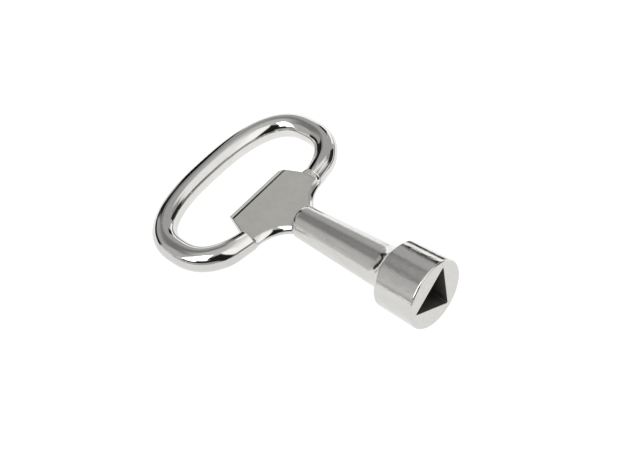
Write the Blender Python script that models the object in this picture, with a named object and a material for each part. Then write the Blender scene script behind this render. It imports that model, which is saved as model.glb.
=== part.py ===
# Triangular-socket key: a closed loop handle, a flat web, a tapered stem and a round socket head.
# Metres, +Z up. The origin is the centre of the socket's floor, where the end of a spindle seats.
# +X runs along the stem and out of the socket's mouth, and +Z is square to the loop and the web.
# The key is one casting. It is split into four solids at its visible edges, which butt with a hairline gap.

import math

import bmesh
import bpy
from mathutils import Vector

MM = 0.001

# Driving dimensions
SOCKET_DEPTH = 8.0 * MM          # floor to mouth
SOCKET_HEIGHT = 9.3 * MM         # one corner to the opposite side, 0.3 mm over a 9 mm spindle
SOCKET_CORNER = 0.25 * MM        # rounding of the socket's three corners
SOCKET_TURN = math.radians(-3)   # the socket sits a little off square to the loop
HEAD_LENGTH = 9.8 * MM           # mouth to the edge of the head's back
HEAD_RADIUS = 7.5 * MM           # at the mouth
HEAD_BACK_RADIUS = 7.25 * MM     # casting draft makes the back slimmer
HEAD_RIM = 0.4 * MM              # rounded rim at the mouth
HEAD_BACK_ROUND = 0.5 * MM       # rounded edge at the back
NECK_ROUND = 1.5 * MM            # hollow round between stem and head
STEM_ROOT = 27.2 * MM            # distance of the stem's root behind the origin
STEM_ROOT_RADIUS = 3.65 * MM
STEM_HEAD_RADIUS = 4.6 * MM
STEM_ROOT_ROUND = 0.6 * MM
LOOP_CENTRE = 44.15 * MM         # distance of the loop's middle behind the origin
LOOP_HALF_DEPTH = 11.7 * MM      # centreline of the bar, along X
LOOP_HALF_WIDTH = 20.8 * MM      # centreline of the bar, along Y
LOOP_SQUARENESS = 2.57           # 2 is an ellipse, more is squarer
BAR_RADIUS = 2.7 * MM
BAR_END_Y = 10.0 * MM            # the bar's ends stop here, on either side of the web
WEB_THICKNESS = 2.4 * MM
WEB_EDGE_LAND = 0.5 * MM         # thickness left at the back edge under its two chamfers
WEB_BACK_FLAT = 39.45 * MM       # distance of the web's back, at the top of its chamfer
WEB_BACK_EDGE = 41.75 * MM       # distance of the web's back edge itself
WEB_BACK_HALF_WIDTH = 7.85 * MM
WEB_SIDE_ROUND = 0.4 * MM        # how far the web's plain sides lean out
SHOULDER_X = 23.4 * MM           # centre of each hollow shoulder, behind the origin
SHOULDER_Y = 10.65 * MM
SHOULDER_FLAT_RADIUS = 9.0 * MM  # where the flat stops
SHOULDER_EDGE_RADII = (7.35 * MM, 7.75 * MM)
JOINT_GAP = 0.05 * MM            # hairline between butting solids

ROUND_STEPS = 64
BAR_STEPS = 20
LOOP_STEPS = 84
SHOULDER_STEPS = 12
WEB_LAYERS = 5


def clear_scene():
    for obj in list(bpy.data.objects):
        bpy.data.objects.remove(obj, do_unlink=True)


def make_material(name, colour, roughness):
    material = bpy.data.materials.new(name)
    material.use_nodes = True
    shader = material.node_tree.nodes["Principled BSDF"]
    shader.inputs["Base Color"].default_value = (*colour, 1.0)
    shader.inputs["Metallic"].default_value = 1.0
    shader.inputs["Roughness"].default_value = roughness
    return material


def finish_object(name, mesh_builder, material, sharp_degrees=32):
    mesh = bpy.data.meshes.new(name)
    bmesh.ops.recalc_face_normals(mesh_builder, faces=mesh_builder.faces)
    mesh_builder.to_mesh(mesh)
    mesh_builder.free()
    mesh.shade_smooth()
    mesh.set_sharp_from_angle(angle=math.radians(sharp_degrees))
    mesh.materials.append(material)
    obj = bpy.data.objects.new(name, mesh)
    bpy.context.scene.collection.objects.link(obj)
    return obj


def loft(rings):
    """Close a stack of equal rings of points into one solid with flat ends."""
    builder = bmesh.new()
    stack = []
    for ring in rings:
        stack.append([builder.verts.new(point) for point in ring])
    count = len(stack[0])
    for first, second in zip(stack, stack[1:]):
        for i in range(count):
            j = (i + 1) % count
            builder.faces.new((first[i], first[j], second[j], second[i]))
    builder.faces.new(stack[0])
    builder.faces.new(stack[-1])
    return builder


def turned(profile, steps=ROUND_STEPS):
    """Turn (x, radius) points about the X axis."""
    rings = []
    for x, radius in profile:
        ring = []
        for i in range(steps):
            angle = math.tau * i / steps
            ring.append(Vector((x, radius * math.cos(angle), radius * math.sin(angle))))
        rings.append(ring)
    return loft(rings)


def arc(centre, radius, start_degrees, end_degrees, steps):
    points = []
    for i in range(steps + 1):
        angle = math.radians(start_degrees + (end_degrees - start_degrees) * i / steps)
        points.append((centre[0] + radius * math.cos(angle), centre[1] + radius * math.sin(angle)))
    return points


def loop_point(y, side):
    """Centreline of the bar: side +1 is the half nearer the head, -1 the half at the back."""
    reach = (1.0 - abs(y / LOOP_HALF_WIDTH) ** LOOP_SQUARENESS) ** (1.0 / LOOP_SQUARENESS)
    return Vector((-LOOP_CENTRE + side * LOOP_HALF_DEPTH * reach, y, 0.0))


def loop_path():
    """From the bar's end at +Y round the back of the loop to its end at -Y, evenly spaced."""
    power = 2.0 / LOOP_SQUARENESS
    fine = []
    count = 4000
    for i in range(count + 1):
        angle = math.tau * i / count
        c = math.cos(angle)
        s = math.sin(angle)
        x = -LOOP_CENTRE + LOOP_HALF_DEPTH * math.copysign(abs(c) ** power, c)
        y = LOOP_HALF_WIDTH * math.copysign(abs(s) ** power, s)
        front_gap = c > 0.0 and abs(y) < BAR_END_Y
        if not front_gap:
            fine.append(Vector((x, y, 0.0)))
    fine.insert(0, loop_point(BAR_END_Y, 1))
    fine.append(loop_point(-BAR_END_Y, 1))
    lengths = [0.0]
    for a, b in zip(fine, fine[1:]):
        lengths.append(lengths[-1] + (b - a).length)
    path = []
    k = 0
    for i in range(LOOP_STEPS + 1):
        target = lengths[-1] * i / LOOP_STEPS
        while k < len(fine) - 2 and lengths[k + 1] < target:
            k += 1
        span = lengths[k + 1] - lengths[k]
        share = (target - lengths[k]) / span if span > 0.0 else 0.0
        path.append(fine[k].lerp(fine[k + 1], share))
    return path


def make_loop_handle(material):
    path = loop_path()
    rings = []
    for i, point in enumerate(path):
        before = path[max(i - 1, 0)]
        after = path[min(i + 1, len(path) - 1)]
        tangent = (after - before).normalized()
        across = Vector((tangent.y, -tangent.x, 0.0))
        ring = []
        for j in range(BAR_STEPS):
            angle = math.tau * j / BAR_STEPS
            offset = across * math.cos(angle) + Vector((0.0, 0.0, 1.0)) * math.sin(angle)
            ring.append(point + offset * BAR_RADIUS)
        rings.append(ring)
    # both ends are cut square to Y, along the bar's own direction
    for ring, inner, y in ((rings[0], rings[1], BAR_END_Y), (rings[-1], rings[-2], -BAR_END_Y)):
        for j, point in enumerate(ring):
            along = point - inner[j]
            ring[j] = point + along * ((y - point.y) / along.y)
    return finish_object("loop_handle", loft(rings), material)


def web_ring(z, lean):
    """The web's outline at one height. lean runs from 0 at the flat to 1 at the middle height."""
    half = WEB_THICKNESS / 2
    land = WEB_EDGE_LAND / 2
    drop = min((half - abs(z)) / (half - land), 1.0)
    back = -(WEB_BACK_FLAT + (WEB_BACK_EDGE - WEB_BACK_FLAT) * drop)
    side_out = WEB_SIDE_ROUND * (lean - 1.0)
    radius_x = SHOULDER_FLAT_RADIUS + (SHOULDER_EDGE_RADII[0] - SHOULDER_FLAT_RADIUS) * lean
    radius_y = SHOULDER_FLAT_RADIUS + (SHOULDER_EDGE_RADII[1] - SHOULDER_FLAT_RADIUS) * lean
    front = -(STEM_ROOT + JOINT_GAP)
    end_y = BAR_END_Y - JOINT_GAP
    bar_back = loop_point(BAR_END_Y, 1).x - BAR_RADIUS
    side_slope = (end_y - WEB_BACK_HALF_WIDTH) / (bar_back - 0.3 * MM + WEB_BACK_EDGE)
    back_y = WEB_BACK_HALF_WIDTH + side_out + side_slope * (back + WEB_BACK_EDGE)
    end_x = bar_back - 0.3 * MM - side_out / side_slope
    start = math.asin((SHOULDER_Y - end_y) / radius_y)
    finish = math.acos((front + SHOULDER_X) / -radius_x)
    half_outline = [(back, back_y), (end_x, end_y)]
    for i in range(SHOULDER_STEPS + 1):
        angle = start + (finish - start) * i / SHOULDER_STEPS
        x = -SHOULDER_X - radius_x * math.cos(angle)
        y = SHOULDER_Y - radius_y * math.sin(angle)
        half_outline.append((x, y))
    upper = [Vector((x, y, z)) for x, y in half_outline]
    lower = [Vector((x, -y, z)) for x, y in reversed(half_outline)]
    return upper + lower


def make_web_plate(material):
    half = WEB_THICKNESS / 2
    land = WEB_EDGE_LAND / 2
    heights = []
    for i in range(WEB_LAYERS):
        heights.append(half * math.cos(math.pi / 2 * i / WEB_LAYERS))
    heights.append(land)
    heights = sorted(set(heights), reverse=True)
    levels = heights + [-height for height in reversed(heights)]
    rings = []
    for z in levels:
        lean = math.sqrt(max(1.0 - (z / half) ** 2, 0.0))
        rings.append(web_ring(z, lean))
    return finish_object("web_plate", loft(rings), material)


def make_stem(material):
    taper = (STEM_HEAD_RADIUS - STEM_ROOT_RADIUS) / (STEM_ROOT - neck_start())
    profile = arc(
        (-STEM_ROOT + STEM_ROOT_ROUND, STEM_ROOT_RADIUS + taper * STEM_ROOT_ROUND - STEM_ROOT_ROUND),
        STEM_ROOT_ROUND, 180, 90, 4)
    profile.append((-neck_start() - JOINT_GAP, STEM_HEAD_RADIUS))
    return finish_object("stem", turned(profile), material)


def neck_start():
    """Distance of the stem's end, and of the neck's start, behind the origin."""
    return HEAD_LENGTH - SOCKET_DEPTH + NECK_ROUND


def make_socket_head(material):
    mouth = SOCKET_DEPTH
    back = mouth - HEAD_LENGTH
    profile = arc((back - NECK_ROUND, STEM_HEAD_RADIUS + NECK_ROUND), NECK_ROUND, 270, 360, 5)
    profile += arc((back + HEAD_BACK_ROUND, HEAD_BACK_RADIUS - HEAD_BACK_ROUND), HEAD_BACK_ROUND, 180, 90, 3)
    profile += arc((mouth - HEAD_RIM, HEAD_RADIUS - HEAD_RIM), HEAD_RIM, 90, 0, 3)
    head = finish_object("socket_head", turned(profile), material)

    cutter = make_socket_cutter()
    cut = head.modifiers.new("socket", "BOOLEAN")
    cut.operation = "DIFFERENCE"
    cut.object = cutter
    return head


def make_socket_cutter():
    """A three-sided prism with rounded corners, from the socket's floor to past the mouth."""
    corner_distance = SOCKET_HEIGHT * 2 / 3 - 2 * SOCKET_CORNER
    outline = []
    for k in range(3):
        direction = math.radians(60 + 120 * k) + SOCKET_TURN
        centre = (corner_distance * math.cos(direction), corner_distance * math.sin(direction))
        middle = math.degrees(direction)
        outline += arc(centre, SOCKET_CORNER, middle - 60, middle + 60, 3)
    rings = []
    for x in (0.0, SOCKET_DEPTH + 1.0 * MM):
        rings.append([Vector((x, y, z)) for y, z in outline])
    cutter = finish_object("socket_cutter", loft(rings), None)
    cutter.hide_render = True
    cutter.display_type = "WIRE"
    return cutter


def main():
    clear_scene()
    polished = make_material("polished_plating", (0.66, 0.65, 0.63), 0.08)
    satin_web = make_material("satin_web_plating", (0.58, 0.57, 0.55), 0.35)
    satin_stem = make_material("satin_stem_plating", (0.62, 0.61, 0.59), 0.22)
    satin_head = make_material("satin_head_plating", (0.62, 0.61, 0.59), 0.2)
    make_loop_handle(polished)
    make_web_plate(satin_web)
    make_stem(satin_stem)
    make_socket_head(satin_head)


main()
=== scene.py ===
# A triangular-socket key in plated die-cast zinc: loop handle, web, stem and socket head.
import math
import bmesh
import bpy
from mathutils import Matrix, Vector


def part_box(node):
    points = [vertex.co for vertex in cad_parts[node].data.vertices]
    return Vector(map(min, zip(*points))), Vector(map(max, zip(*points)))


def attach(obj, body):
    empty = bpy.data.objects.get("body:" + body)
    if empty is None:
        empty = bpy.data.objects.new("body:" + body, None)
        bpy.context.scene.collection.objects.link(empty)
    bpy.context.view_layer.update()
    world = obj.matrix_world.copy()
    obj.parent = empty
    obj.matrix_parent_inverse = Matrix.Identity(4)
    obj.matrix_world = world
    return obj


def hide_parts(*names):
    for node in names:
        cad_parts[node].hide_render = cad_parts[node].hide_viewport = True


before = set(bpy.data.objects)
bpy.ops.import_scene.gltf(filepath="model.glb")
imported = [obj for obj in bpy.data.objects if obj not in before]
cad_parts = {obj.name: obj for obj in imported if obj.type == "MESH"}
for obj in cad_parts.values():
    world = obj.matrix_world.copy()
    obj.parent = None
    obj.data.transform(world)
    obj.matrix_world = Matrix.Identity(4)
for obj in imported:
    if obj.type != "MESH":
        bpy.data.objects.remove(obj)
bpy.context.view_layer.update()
print("frame loaded")

mm = 0.001


# sRGB hex to linear
def hexToLinear(hexColour):
    channels = []
    for i in (0, 2, 4):
        value = int(hexColour[i:i + 2], 16) / 255
        channels.append(value / 12.92 if value <= 0.04045 else ((value + 0.055) / 1.055) ** 2.4)
    return (*channels, 1.0)


def addNode(tree, kind, settings=None, links=None, values=None):
    node = tree.nodes.new(kind)
    for key, value in (settings or {}).items():
        setattr(node, key, value)
    for key, value in (values or {}).items():
        node.inputs[key].default_value = value
    for key, source in (links or {}).items():
        tree.links.new(source, node.inputs[key])
    return node


# Camera: a short telephoto from above and in front of the socket, rolled a little
cameraSettings = {
    "location": (110.8, -97.8, 182.3),
    "aim": (-23.95, -0.8, 0.0),
    "roll": -16.5,
    "lens": 68.7,
    "sensor": 36.0,
    "nearest": 0.01,          # metres
    "farthest": 50.0,
}


def makeCamera(settings):
    data = bpy.data.cameras.new("studioCamera")
    data.lens = settings["lens"]
    data.sensor_width = settings["sensor"]
    data.clip_start = settings["nearest"]
    data.clip_end = settings["farthest"]
    camera = bpy.data.objects.new("studioCamera", data)
    bpy.context.scene.collection.objects.link(camera)
    place = Vector(settings["location"]) * mm
    look = Vector(settings["aim"]) * mm - place
    turn = look.to_track_quat("-Z", "Y").to_matrix().to_4x4()
    roll = Matrix.Rotation(math.radians(settings["roll"]), 4, "Z")
    camera.matrix_world = Matrix.Translation(place) @ turn @ roll
    bpy.context.scene.camera = camera


makeCamera(cameraSettings)
print("camera placed")


# Sizes shared by the pieces, read from the frame, in millimetres
def boxInMm(node):
    low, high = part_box(node)
    return low / mm, high / mm


loopLow, loopHigh = boxInMm("loop_handle")
webLow, webHigh = boxInMm("web_plate")
stemLow, stemHigh = boxInMm("stem")
headHigh = boxInMm("socket_head")[1]
barRadius = loopHigh.z
webHalf = webHigh.z
mouthX = headHigh.x
sharpAngle = 35.0             # edges turning more than this stay crisp
support = 0.15                # a ring this close to a rounding keeps straight reflections straight
overlap = 0.05                # how far the neck and the stem run into each other


# A closed skin over a row of rings, with flat caps
def pieceFromRings(name, rings):
    builder = bmesh.new()
    stack = [[builder.verts.new(Vector(p) * mm) for p in ring] for ring in rings]
    count = len(stack[0])
    for first, second in zip(stack, stack[1:]):
        for i in range(count):
            j = (i + 1) % count
            builder.faces.new((first[i], first[j], second[j], second[i]))
    builder.faces.new(stack[0])
    builder.faces.new(stack[-1])
    bmesh.ops.recalc_face_normals(builder, faces=builder.faces)
    mesh = bpy.data.meshes.new(name)
    builder.to_mesh(mesh)
    builder.free()
    mesh.shade_smooth()
    mesh.set_sharp_from_angle(angle=math.radians(sharpAngle))
    for face in mesh.polygons:
        if len(face.vertices) > 4:
            face.use_smooth = False
    piece = bpy.data.objects.new(name, mesh)
    bpy.context.scene.collection.objects.link(piece)
    return piece


def arcPoints(centre, radius, startDegrees, endDegrees, steps):
    points = []
    for i in range(steps + 1):
        angle = math.radians(startDegrees + (endDegrees - startDegrees) * i / steps)
        points.append((centre[0] + radius * math.cos(angle), centre[1] + radius * math.sin(angle)))
    return points


# Web sizes come first, since the loop's ends grow out of the web's sides.
# The helpers give the web's outline at any height: hollow shoulders, plain sides and chamfered back.
web = {
    "backRun": 2.3,           # the chamfer, from the flat to the back edge
    "chamferRound": 1.6,      # where the flat rolls over into the chamfer
    "chamferAngle": 30.0,
    "backHalfWidth": 7.85,
    "sideSlope": 0.38,
    "sideRound": 0.4,
    "cornerRound": 0.35,
    "cornerSteps": 6,
    "backSteps": 8,
    "shoulderX": -23.4,
    "shoulderY": 10.65,
    "shoulderFlat": 8.7,
    "shoulderEdgeX": 7.5,
    "shoulderEdgeY": 7.9,
    "shoulderRound": 3.2,     # arc of the shoulder's edge, which meets the flat at an angle
    "endY": 9.75,             # where the web turns into the bar
    "frontX": -26.9,          # the web ends inside the stem
    "levels": 24,
    "shoulderSteps": 48,
    "edgeShare": 0.6,         # share of a quarter section's points that lie on its round edge
}


# 0 on the flat and 1 at mid height
def leanAt(z):
    return math.sqrt(max(1.0 - (z / webHalf) ** 2, 0.0))


def shoulderRadii(z):
    cut = math.sqrt(web["shoulderRound"] ** 2 - webHalf ** 2)
    lean = (math.sqrt(web["shoulderRound"] ** 2 - z ** 2) - cut) / (web["shoulderRound"] - cut)
    flat = web["shoulderFlat"]
    return flat + (web["shoulderEdgeX"] - flat) * lean, flat + (web["shoulderEdgeY"] - flat) * lean


def shoulderX(y, z):
    radiusX, radiusY = shoulderRadii(z)
    return web["shoulderX"] - radiusX * math.sqrt(1.0 - ((web["shoulderY"] - y) / radiusY) ** 2)


def sideY(x, z):
    return web["backHalfWidth"] + web["sideSlope"] * (x - webLow.x) - web["sideRound"] * (1.0 - leanAt(z))


def sideX(y, z):
    return webLow.x + (y - web["backHalfWidth"] + web["sideRound"] * (1.0 - leanAt(z))) / web["sideSlope"]


def backX(z):
    drop = webHalf - abs(z)
    angle = math.radians(web["chamferAngle"])
    rounding = web["chamferRound"]
    roundDrop = rounding * (1.0 - math.cos(angle))
    if drop < roundDrop:
        run = math.sqrt(rounding ** 2 - (rounding - drop) ** 2)
    else:
        run = rounding * math.sin(angle) + (drop - roundDrop) / math.tan(angle)
    return webLow.x + max(web["backRun"] - run, 0.0)


# A closed section through the web's end: outer edge, flat and inner edge, then the same below
def sectionAcross(outer, inner, middle, quarterSteps):
    def pointOn(edge, i):
        share = i / quarterSteps
        if share < web["edgeShare"]:
            z = webHalf * math.sin(math.pi / 2 * share / web["edgeShare"])
            return edge(z), z
        start = edge(webHalf)
        return start + (middle - start) * (share - web["edgeShare"]) / (1 - web["edgeShare"]), webHalf

    over = [pointOn(outer, i) for i in range(quarterSteps)]
    over += [pointOn(inner, i) for i in range(quarterSteps, -1, -1)]
    return over + [(x, -z) for x, z in reversed(over[1:-1])]


def smoother(t):
    return t * t * t * (t * (6 * t - 15) + 10)


def mixSections(first, second, share, heightShare):
    mixed = []
    for (a, za), (b, zb) in zip(first, second):
        mixed.append((a + (b - a) * share, za + (zb - za) * heightShare))
    return mixed


# Loop handle: a round bar bent to a squarish oval, mirror polished
loop = {
    "squareness": 2.57,
    "halfDepth": 11.7,
    "stepEnd": 10.45,         # the bar is fully round from here on
    "straighten": 3.0,        # over this length the sections turn square to Y
    "waist": 0.65,            # the bar's outer side draws in by this much to meet the shoulder
    "waistLength": 6.0,
    "fineSteps": 8000,        # points on the oval before it is divided evenly
    "pathSteps": 420,
    "quarterSteps": 24,
    "stepSteps": 14,
}
loop["halfWidth"] = (loopHigh.y - loopLow.y) / 2 - barRadius
loop["centreX"] = loopLow.x + barRadius + loop["halfDepth"]


def loopX(y):
    power = loop["squareness"]
    reach = (1.0 - abs(y / loop["halfWidth"]) ** power) ** (1.0 / power)
    return loop["centreX"] + loop["halfDepth"] * reach


# Evenly spaced points round the open oval
def loopPath():
    power = 2.0 / loop["squareness"]
    fine = [Vector((loopX(loop["stepEnd"]), loop["stepEnd"], 0.0))]
    for i in range(loop["fineSteps"]):
        c = math.cos(math.tau * i / loop["fineSteps"])
        s = math.sin(math.tau * i / loop["fineSteps"])
        x = loop["centreX"] + loop["halfDepth"] * math.copysign(abs(c) ** power, c)
        y = loop["halfWidth"] * math.copysign(abs(s) ** power, s)
        if c < 0.0 or abs(y) > loop["stepEnd"]:
            fine.append(Vector((x, y, 0.0)))
    fine.append(Vector((loopX(loop["stepEnd"]), -loop["stepEnd"], 0.0)))
    lengths = [0.0]
    for a, b in zip(fine, fine[1:]):
        lengths.append(lengths[-1] + (b - a).length)
    path = []
    k = 0
    for i in range(loop["pathSteps"] + 1):
        target = lengths[-1] * i / loop["pathSteps"]
        while k < len(fine) - 2 and lengths[k + 1] < target:
            k += 1
        span = lengths[k + 1] - lengths[k]
        path.append(fine[k].lerp(fine[k + 1], (target - lengths[k]) / span if span else 0.0))
    return path


# One section of the bar. Near the web it turns square to Y and draws in on its outer side.
def barRing(point, tangent):
    across = Vector((tangent.y, -tangent.x, 0.0))
    if across.dot(Vector((point.x - loop["centreX"], point.y, 0.0))) < 0:
        across = -across
    square = 0.0
    draw = 0.0
    if point.x > loop["centreX"]:
        past = abs(point.y) - loop["stepEnd"]
        square = smoother(1.0 - min(max(past / loop["straighten"], 0.0), 1.0))
        draw = loop["waist"] * smoother(1.0 - min(max(past / loop["waistLength"], 0.0), 1.0))
    ring = []
    for i in range(4 * loop["quarterSteps"]):
        angle = math.pi / 2 * i / loop["quarterSteps"]
        radius = barRadius - draw * math.sqrt(max(math.cos(angle), 0.0))
        p = point + across * (radius * math.cos(angle)) + Vector((0, 0, radius * math.sin(angle)))
        if square > 0.0:
            p = p + tangent * ((point.y - p.y) / tangent.y * square)
        ring.append(p)
    return ring


# The short step from the web's section to the round bar, on one side
def stepRings(side, barEnd):
    endY = web["endY"]
    flatSection = sectionAcross(lambda z: shoulderX(endY, z), lambda z: sideX(endY, z),
                                loopX(endY), loop["quarterSteps"])
    roundSection = [(p.x, p.z) for p in barEnd]
    rings = []
    for i in range(loop["stepSteps"]):
        share = i / loop["stepSteps"]
        y = endY + (loop["stepEnd"] - endY) * share
        mixed = mixSections(flatSection, roundSection, share, smoother(share))
        rings.append([Vector((x, side * y, z)) for x, z in mixed])
    return rings


def makeLoop():
    path = loopPath()
    tube = []
    for i, point in enumerate(path):
        tangent = (path[min(i + 1, len(path) - 1)] - path[max(i - 1, 0)]).normalized()
        tube.append(barRing(point, tangent))
    rings = stepRings(1, tube[0]) + tube + list(reversed(stepRings(-1, tube[-1])))
    return pieceFromRings("loopHandle", rings)


loopPiece = makeLoop()
print("loop made")


# Web plate: flat faces, hollow shoulders with round edges, plain sides, chamfered back
def roundCorner(before, corner, after, radius, steps):
    a = (Vector(before) - Vector(corner)).normalized()
    b = (Vector(after) - Vector(corner)).normalized()
    half = a.angle(b) / 2
    reach = radius / math.tan(half)
    start = Vector(corner) + a * reach
    finish = Vector(corner) + b * reach
    centre = Vector(corner) + (a + b).normalized() * (radius / math.sin(half))
    points = []
    for i in range(steps + 1):
        arm = (start - centre).lerp(finish - centre, i / steps).normalized() * radius
        points.append(tuple(centre + arm))
    return points


def webOutline(z):
    back = backX(z)
    corner = (back, sideY(back, z))
    sideEnd = (sideX(web["endY"], z), web["endY"])
    half = [(back, corner[1] * i / web["backSteps"]) for i in range(web["backSteps"])]
    half += roundCorner((back, 0.0), corner, sideEnd, web["cornerRound"], web["cornerSteps"])
    half.append(sideEnd)
    radiusX, radiusY = shoulderRadii(z)
    start = math.asin((web["shoulderY"] - web["endY"]) / radiusY)
    finish = math.acos((web["shoulderX"] - web["frontX"]) / radiusX)
    for i in range(web["shoulderSteps"] + 1):
        angle = start + (finish - start) * i / web["shoulderSteps"]
        half.append((web["shoulderX"] - radiusX * math.cos(angle),
                     web["shoulderY"] - radiusY * math.sin(angle)))
    mirrored = [(x, -y) for x, y in reversed(half[1:])]
    return [(x, y, z) for x, y in half + mirrored]


def makeWeb():
    heights = [webHalf * math.cos(math.pi / 2 * i / web["levels"]) for i in range(web["levels"])]
    heights = heights + [0.0] + [-h for h in reversed(heights)]
    return pieceFromRings("webPlate", [webOutline(z) for z in heights])


webPiece = makeWeb()
print("web made")


# Head sizes come first, since the stem runs up to the head's neck
head = {
    "neckLength": 3.4,        # the hollow between stem and head
    "neckRise": 2.05,
    "neckSteps": 24,
    "neckAlong": 1.25,        # powers of the hollow's curve; 1 and 1 would be a quarter ellipse
    "neckOut": 1.2,
    "backRadius": 7.25,
    "backRound": 0.45,
    "rim": 0.4,
    "length": 9.8,
    "socketHeight": 9.3,
    "socketCorner": 0.25,
    "socketTurn": -3.0,
    "socketEdge": 0.1,        # tiny round at the socket's mouth
    "socketMiddle": 4.0,      # depth of a ring half way down the socket
    "around": 360,
}
neckStart = mouthX - head["length"] - head["neckLength"]


# Stem: a tapered shank with a rounded end standing on the web
stem = {
    "rootRadius": 3.65,
    "headRadius": stemHigh.z,
    "rootX": -27.4,
    "rootCrisp": 0.25,        # the very edge of the shank's end
    "rootGentle": 3.0,        # the slow roll behind that edge
    "rootTilt": 22.0,
    "between": (-18.0, -12.0),
    "around": 180,
}


def stemRadius(x):
    share = (x - stemLow.x) / (stemHigh.x - stemLow.x)
    return stem["rootRadius"] + (stem["headRadius"] - stem["rootRadius"]) * share


def roundRing(x, radius, around):
    ring = []
    for i in range(around):
        angle = math.tau * i / around
        ring.append((x, radius * math.cos(angle), radius * math.sin(angle)))
    return ring


def makeStem():
    crisp = stem["rootCrisp"]
    gentle = stem["rootGentle"]
    turn = 90.0 + stem["rootTilt"]
    start = stem["rootX"] + crisp - (gentle - crisp) * math.cos(math.radians(turn))
    middle = stemRadius(start) - gentle
    edgeMiddle = (stem["rootX"] + crisp, middle + (gentle - crisp) * math.sin(math.radians(turn)))
    profile = arcPoints(edgeMiddle, crisp, 180, turn, 8)[:-1]
    profile += arcPoints((start, middle), gentle, turn, 90, 12)
    for x in (start + support, *stem["between"], neckStart - support, neckStart + overlap):
        profile.append((x, stemRadius(x)))
    return pieceFromRings("stemShank", [roundRing(x, radius, stem["around"]) for x, radius in profile])


stemPiece = makeStem()
print("stem made")


# Head: hollow neck, draft-tapered barrel, rounded rim, flat end face and the three-sided socket.
# The reach is the distance from the axis to the socket's outline, a triangle with rounded corners.
def socketReach(angle, grow):
    inner = head["socketHeight"] / 3 + grow
    corner = head["socketCorner"] + grow
    toSide = (angle - math.radians(head["socketTurn"]) + math.pi / 3) % (math.tau / 3) - math.pi / 3
    reach = inner / math.cos(toSide)
    centre = 2 * (inner - corner)
    offCorner = math.pi / 3 - abs(toSide)
    side = centre * math.sin(offCorner)
    if side < corner * math.sin(math.pi / 3):
        reach = min(reach, centre * math.cos(offCorner) + math.sqrt(corner ** 2 - side ** 2))
    return reach


def makeHead():
    back = mouthX - head["length"]
    mouthRadius = headHigh.z
    neckRadius = stemRadius(neckStart)
    profile = [(neckStart - overlap, neckRadius - 0.03)]
    for i in range(head["neckSteps"] + 1):
        turn = math.pi / 2 * i / head["neckSteps"]
        along = math.sin(turn) ** head["neckAlong"]
        out = 1.0 - max(math.cos(turn), 0.0) ** head["neckOut"]
        profile.append((neckStart + head["neckLength"] * along, neckRadius + head["neckRise"] * out))
    backRound = head["backRound"]
    profile += arcPoints((back + backRound, head["backRadius"] - backRound), backRound, 180, 90, 10)
    rim = head["rim"]
    profile += [(back + backRound + support, head["backRadius"]), (mouthX - rim - support, mouthRadius)]
    profile += arcPoints((mouthX - rim, mouthRadius - rim), rim, 90, 0, 10)
    profile.append((mouthX, mouthRadius - rim - 0.1))
    around = head["around"]
    rings = [roundRing(x, radius, around) for x, radius in profile]
    edge = head["socketEdge"]
    inside = [(mouthX, edge + support), (mouthX, edge)]
    for i in range(1, 7):
        angle = math.pi / 2 * i / 6
        inside.append((mouthX - edge * (1 - math.cos(angle)), edge * (1 - math.sin(angle))))
    inside += [(mouthX - edge - 0.1, 0.0), (mouthX - head["socketMiddle"], 0.0), (0.0, 0.0)]
    for x, grow in inside:
        ring = []
        for i in range(around):
            angle = math.tau * i / around
            reach = socketReach(angle, grow)
            ring.append((x, reach * math.cos(angle), reach * math.sin(angle)))
        rings.append(ring)
    return pieceFromRings("socketHead", rings)


headPiece = makeHead()
print("head made")


# Finishes. Sizes are in millimetres; heights are the depth of the relief.
loopFinish = {
    "colour": "d3d2d0",
    "darkColour": "c4c3c0",
    "roughness": (0.01, 0.05),
    "streak": 2.5,
    "wave": 5.0,              # polishing waves left by the wheel
    "waveHeight": 0.02,
    "peel": 0.7,              # orange peel of the casting under the plating
    "peelHeight": 0.004,
    "pitSpacing": 1.3,
    "pitSize": 0.14,
    "pitHeight": 0.03,
}
webFinish = {
    "colour": "e7e5e0",
    "darkColour": "d1cfc9",
    "roughness": (0.4, 0.54),
    "streak": 2.0,
    "wave": 6.0,
    "waveHeight": 0.006,
    "peel": 0.28,             # the blasted die's grain, drawn coarser than the real 0.1 so that it shows
    "peelHeight": 0.0035,
    "pitSpacing": 2.6,
    "pitSize": 0.16,
    "pitHeight": 0.03,
}
shankFinish = {
    "colour": "d8d7d4",
    "darkColour": "c4c3c0",
    "roughness": (0.06, 0.14),
    "streak": 1.2,
    "wave": 4.0,
    "waveHeight": 0.012,
    "peel": 0.45,
    "peelHeight": 0.03,
    "pitSpacing": 2.2,
    "pitSize": 0.12,
    "pitHeight": 0.02,
}
# The stem is linished along its length, which leaves a finer grain and a softer shine
stemFinish = {**shankFinish, "roughness": (0.12, 0.22), "peel": 0.25, "peelHeight": 0.014}
# Painted shade: the socket's walls get a darker colour than the outside plate, standing in for the shade
# deep in the socket; they are also rougher
socketShadeFinish = {
    "colour": "989692",
    "darkColour": "7c7a76",
    "roughness": (0.5, 0.6),
    "streak": 1.5,
    "wave": 3.0,
    "waveHeight": 0.01,
    "peel": 0.3,
    "peelHeight": 0.004,
    "pitSpacing": 1.5,
    "pitSize": 0.15,
    "pitHeight": 0.03,
}


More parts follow.
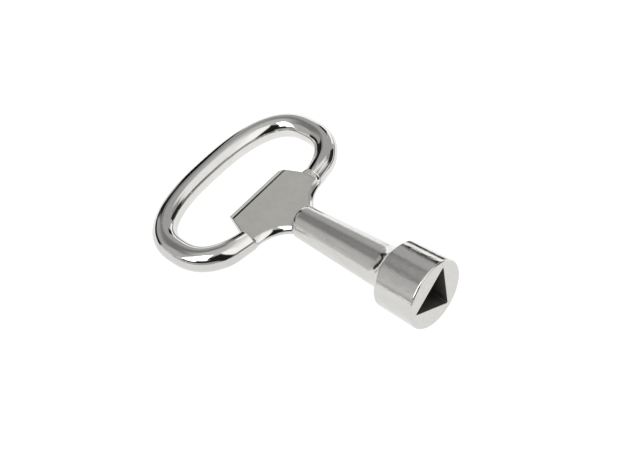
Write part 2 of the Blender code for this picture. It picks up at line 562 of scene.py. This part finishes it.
# Nickel and chrome plate over die-cast zinc. The plate is thin, so it shows the casting under it:
# slow waves, a finer peel, and a few pinholes
def platedZinc(name, finish, stretch):
    material = bpy.data.materials.new(name)
    material.use_nodes = True
    tree = material.node_tree
    shader = tree.nodes["Principled BSDF"]
    shader.inputs["Metallic"].default_value = 1.0
    place = addNode(tree, "ShaderNodeTexCoord")
    point = addNode(tree, "ShaderNodeMapping", None, {"Vector": place.outputs["Object"]},
                    {"Scale": stretch})
    grain = addNode(tree, "ShaderNodeTexNoise", None, {"Vector": point.outputs["Vector"]},
                    {"Scale": 1 / (finish["peel"] * mm), "Detail": 3.0, "Roughness": 0.6})
    waves = addNode(tree, "ShaderNodeTexNoise", None, {"Vector": place.outputs["Object"]},
                    {"Scale": 1 / (finish["wave"] * mm), "Detail": 2.0, "Roughness": 0.45})
    streaks = addNode(tree, "ShaderNodeTexNoise", None, {"Vector": point.outputs["Vector"]},
                      {"Scale": 1 / (finish["streak"] * mm), "Detail": 4.0, "Roughness": 0.65})
    cells = addNode(tree, "ShaderNodeTexVoronoi", None, {"Vector": place.outputs["Object"]},
                    {"Scale": 1 / (finish["pitSpacing"] * mm), "Randomness": 1.0})
    pitReach = finish["pitSize"] / finish["pitSpacing"]
    pits = addNode(tree, "ShaderNodeMapRange", {"interpolation_type": "SMOOTHSTEP"},
                   {"Value": cells.outputs["Distance"]}, {"From Min": pitReach * 0.3, "From Max": pitReach})
    tint = addNode(tree, "ShaderNodeMix", {"data_type": "RGBA"}, {"Factor": streaks.outputs["Fac"]},
                   {6: hexToLinear(finish["colour"]), 7: hexToLinear(finish["darkColour"])})
    tree.links.new(tint.outputs[2], shader.inputs["Base Color"])
    low, high = finish["roughness"]
    rough = addNode(tree, "ShaderNodeMapRange", None, {"Value": grain.outputs["Fac"]},
                    {"From Min": 0.3, "From Max": 0.7, "To Min": low, "To Max": high})
    tree.links.new(rough.outputs["Result"], shader.inputs["Roughness"])
    links = {}
    for relief, depth in ((waves.outputs["Fac"], finish["waveHeight"]),
                          (grain.outputs["Fac"], finish["peelHeight"]),
                          (pits.outputs["Result"], finish["pitHeight"])):
        bump = addNode(tree, "ShaderNodeBump", None, {**links, "Height": relief},
                       {"Strength": 1.0, "Distance": depth * mm})
        links = {"Normal": bump.outputs["Normal"]}
    tree.links.new(bump.outputs["Normal"], shader.inputs["Normal"])
    return material


evenGrain = (1.0, 1.0, 1.0)   # scales of the grain along X, Y and Z
longGrain = (0.3, 1.0, 1.0)   # drawn out along the stem
for piece, node, slot, finish, stretch in (
    (loopPiece, "loop_handle", "loop_plating", loopFinish, evenGrain),
    (webPiece, "web_plate", "web_plating", webFinish, evenGrain),
    (stemPiece, "stem", "stem_plating", stemFinish, longGrain),
    (headPiece, "socket_head", "head_plating", shankFinish, longGrain),
):
    piece.data.materials.append(platedZinc(slot, finish, stretch))
    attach(piece, "root")
    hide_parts(node)

# Everything on the web but its two flats is polished like the loop
webPiece.data.materials.append(platedZinc("web_edge_polish", loopFinish, evenGrain))
for face in webPiece.data.polygons:
    if abs(face.normal.z) < 0.9999:
        face.material_index = 1


# Faces between the mouth and the floor of the socket, the floor included
def isSocketFace(face):
    middle = face.center / mm
    if not -0.1 < middle.x < mouthX - 0.05:
        return False
    return math.hypot(middle.y, middle.z) < socketReach(math.atan2(middle.z, middle.y), 0.04)


# The socket's faces take the darker finish, which paints shade inside the socket
headPiece.data.materials.append(platedZinc("socket_rough_painted_shade", socketShadeFinish, evenGrain))
for face in headPiece.data.polygons:
    if isSocketFace(face):
        face.material_index = 1
print("finishes made")


# Floor: the key lies on the back edge of its head and the far end of its loop
loopFoot = Vector((loopLow.x + barRadius, 0.0, -barRadius))
headFoot = Vector((mouthX - head["length"] + head["backRound"], 0.0, -head["backRadius"]))


def floorHeight(x):
    return loopFoot.z + (headFoot.z - loopFoot.z) * (x - loopFoot.x) / (headFoot.x - loopFoot.x)


def makeSheet(name, middle, along, across, material):
    corners = []
    for a, b in ((-1, -1), (1, -1), (1, 1), (-1, 1)):
        corner = middle + along * a + across * b
        corners.append(corner * mm)
    mesh = bpy.data.meshes.new(name)
    mesh.from_pydata([tuple(corner) for corner in corners], [], [(0, 1, 2, 3)])
    mesh.materials.append(material)
    sheet = bpy.data.objects.new(name, mesh)
    bpy.context.scene.collection.objects.link(sheet)
    return sheet


# A light table: white acrylic that glows from below, a little brighter on its far side
table = {
    "size": 3000.0,
    "gap": 0.02,
    "colour": "626262",
    "roughness": 0.9,
    "glow": (0.93, 1.12),
    "glowEnds": (12.0, 26.0),         # how far out the change in glow starts and ends
    "glowAlong": (-0.56, 0.83, 0.0),
}


def makeFloor():
    material = bpy.data.materials.new("paleFloor")
    material.use_nodes = True
    tree = material.node_tree
    shader = tree.nodes["Principled BSDF"]
    shader.inputs["Base Color"].default_value = hexToLinear(table["colour"])
    shader.inputs["Roughness"].default_value = table["roughness"]
    shader.inputs["Emission Color"].default_value = hexToLinear("ffffff")
    place = addNode(tree, "ShaderNodeTexCoord")
    reach = addNode(tree, "ShaderNodeVectorMath", {"operation": "DOT_PRODUCT"},
                    {0: place.outputs["Object"]}, {1: table["glowAlong"]})
    start, end = table["glowEnds"]
    low, high = table["glow"]
    glow = addNode(tree, "ShaderNodeMapRange", {"interpolation_type": "SMOOTHSTEP"},
                   {"Value": reach.outputs["Value"]},
                   {"From Min": start * mm, "From Max": end * mm, "To Min": low, "To Max": high})
    tree.links.new(glow.outputs["Result"], shader.inputs["Emission Strength"])
    along = (headFoot - loopFoot).normalized()
    normal = Vector((-along.z, 0.0, along.x))
    middle = loopFoot - normal * table["gap"]
    makeSheet("floor", middle, along * table["size"], Vector((0, 1, 0)) * table["size"], material)


makeFloor()


# A black flag lies on the table behind the key. It shows only in the plating.
flag = {
    "middle": (-30.0, 62.0),
    "length": 72.0,
    "width": 22.0,
    "azimuth": 124.0,
    "lift": 1.0,
    "colour": "1a1a1a",
    "roughness": 0.9,
}


def makeFlag():
    material = bpy.data.materials.new("blackCloth")
    material.use_nodes = True
    shader = material.node_tree.nodes["Principled BSDF"]
    shader.inputs["Base Color"].default_value = hexToLinear(flag["colour"])
    shader.inputs["Roughness"].default_value = flag["roughness"]
    x, y = flag["middle"]
    turn = math.radians(flag["azimuth"])
    slope = floorHeight(1.0) - floorHeight(0.0)
    middle = Vector((x, y, floorHeight(x) + flag["lift"]))
    along = Vector((math.cos(turn), math.sin(turn), slope * math.cos(turn))) * flag["length"] / 2
    across = Vector((-math.sin(turn), math.cos(turn), -slope * math.sin(turn))) * flag["width"] / 2
    card = makeSheet("blackFlag", middle, along, across, material)
    card.visible_camera = False
    card.visible_diffuse = False
    card.visible_shadow = False


makeFlag()


# Studio: a pale grey tent with softboxes and the dark room showing through its openings.
# Angles are in degrees, azimuth from +X towards +Y. Each patch is laid over the ones before it.
studio = {
    "tentGlow": 0.54,
    "middle": 260.0,          # azimuth at the middle of the angle scale, opposite its seam
    "patches": (
        {"at": (260, 84), "size": (360, 34), "soft": 12, "tilt": 0, "glow": 0.75},  # roof
        {"at": (380, 42), "size": (110, 60), "soft": 24, "tilt": 0, "glow": 1.25},  # pale wall
        {"at": (352, 42), "size": (46, 60), "soft": 14, "tilt": 0, "glow": 1.5},    # its lit edge
        {"at": (425, 28), "size": (26, 36), "soft": 10, "tilt": 0, "glow": 0.45},   # its dim corner
        {"at": (182, 50), "size": (74, 18), "soft": 16, "tilt": 0, "glow": 0.27},   # shade under the roof
        {"at": (224, 32), "size": (32, 34), "soft": 16, "tilt": 0, "glow": 0.64},   # half-shaded wall
        {"at": (224, 3), "size": (20, 20), "soft": 6, "tilt": 0, "glow": 0.9},      # bright foot of it
        {"at": (120, 3), "size": (64, 20), "soft": 4, "tilt": 0, "glow": 1.5},      # bright foot, left side
        {"at": (116, 18), "size": (13, 16), "soft": 3, "tilt": 0, "glow": 0.02},    # gap above that foot
        {"at": (196, 8), "size": (38, 26), "soft": 5, "tilt": 0, "glow": 0.03},     # gap beside the pole
        {"at": (157, 14), "size": (10, 50), "soft": 3, "tilt": 0, "glow": 0.0},     # tent pole
        {"at": (167, 22), "size": (11, 36), "soft": 5, "tilt": 31, "glow": 0.02},   # leaning stay
        {"at": (423, 8), "size": (38, 36), "soft": 8, "tilt": 0, "glow": 0.03},     # opening
        {"at": (394, 9), "size": (24, 12), "soft": 8, "tilt": 0, "glow": 0.2},      # shade beside it
        {"at": (365, 0), "size": (50, 14), "soft": 10, "tilt": 0, "glow": 0.2},     # shade at the foot
        {"at": (262, 20), "size": (50, 18), "soft": 8, "tilt": 0, "glow": 0.8},     # wall below the softbox
        {"at": (271, 50), "size": (54, 48), "soft": 3, "tilt": 0, "glow": 3.6},     # main softbox
        {"at": (268, 19), "size": (40, 9), "soft": 3, "tilt": 0, "glow": 0.03},     # frame of the softbox
        {"at": (298, 25), "size": (46, 20), "soft": 6, "tilt": 0, "glow": 0.03},    # dark room
        {"at": (326, 30), "size": (33, 66), "soft": 8, "tilt": 30, "glow": 0.02},   # dark leaning curtain
    ),
}


def makeStudio():
    world = bpy.data.worlds.new("studio")
    bpy.context.scene.world = world
    world.use_nodes = True
    tree = world.node_tree
    background = tree.nodes["Background"]
    place = addNode(tree, "ShaderNodeTexCoord")
    turned = addNode(tree, "ShaderNodeVectorRotate", {"rotation_type": "Z_AXIS"},
                     {"Vector": place.outputs["Generated"]}, {"Angle": -math.radians(studio["middle"])})
    axes = addNode(tree, "ShaderNodeSeparateXYZ", None, {"Vector": turned.outputs["Vector"]})
    azimuth = addNode(tree, "ShaderNodeMath", {"operation": "ARCTAN2"},
                      {0: axes.outputs["Y"], 1: axes.outputs["X"]})
    elevation = addNode(tree, "ShaderNodeMath", {"operation": "ARCSINE"}, {0: axes.outputs["Z"]})
    angles = addNode(tree, "ShaderNodeCombineXYZ", None,
                     {"X": azimuth.outputs[0], "Y": elevation.outputs[0]})
    glow = None
    for patch in studio["patches"]:
        middle = (math.radians(patch["at"][0] - studio["middle"]), math.radians(patch["at"][1]), 0.0)
        half = (math.radians(patch["size"][0] / 2), math.radians(patch["size"][1] / 2), 0.0)
        soft = math.radians(patch["soft"] / 2)
        spun = addNode(tree, "ShaderNodeVectorRotate", {"rotation_type": "Z_AXIS"},
                       {"Vector": angles.outputs["Vector"]},
                       {"Center": middle, "Angle": -math.radians(patch["tilt"])})
        away = addNode(tree, "ShaderNodeVectorMath", {"operation": "SUBTRACT"},
                       {0: spun.outputs["Vector"]}, {1: middle})
        folded = addNode(tree, "ShaderNodeVectorMath", {"operation": "ABSOLUTE"},
                         {0: away.outputs["Vector"]})
        past = addNode(tree, "ShaderNodeVectorMath", {"operation": "SUBTRACT"},
                       {0: folded.outputs["Vector"]}, {1: half})
        sides = addNode(tree, "ShaderNodeSeparateXYZ", None, {"Vector": past.outputs["Vector"]})
        worst = addNode(tree, "ShaderNodeMath", {"operation": "MAXIMUM"},
                        {0: sides.outputs["X"], 1: sides.outputs["Y"]})
        mask = addNode(tree, "ShaderNodeMapRange", {"interpolation_type": "SMOOTHSTEP"},
                       {"Value": worst.outputs[0]}, {"From Min": soft, "From Max": -soft})
        mixed = addNode(tree, "ShaderNodeMix", {"data_type": "FLOAT"},
                        {"Factor": mask.outputs["Result"]}, {"A": studio["tentGlow"], "B": patch["glow"]})
        if glow is not None:
            tree.links.new(glow, mixed.inputs["A"])
        glow = mixed.outputs["Result"]
    ray = addNode(tree, "ShaderNodeLightPath")
    seen = addNode(tree, "ShaderNodeMix", {"data_type": "FLOAT"},
                   {"Factor": ray.outputs["Is Camera Ray"], "A": glow}, {"B": 1.0})
    tree.links.new(seen.outputs["Result"], background.inputs["Strength"])
    background.inputs["Color"].default_value = hexToLinear("ffffff")
    bpy.context.scene.view_settings.view_transform = "Standard"


makeStudio()
print("studio made")
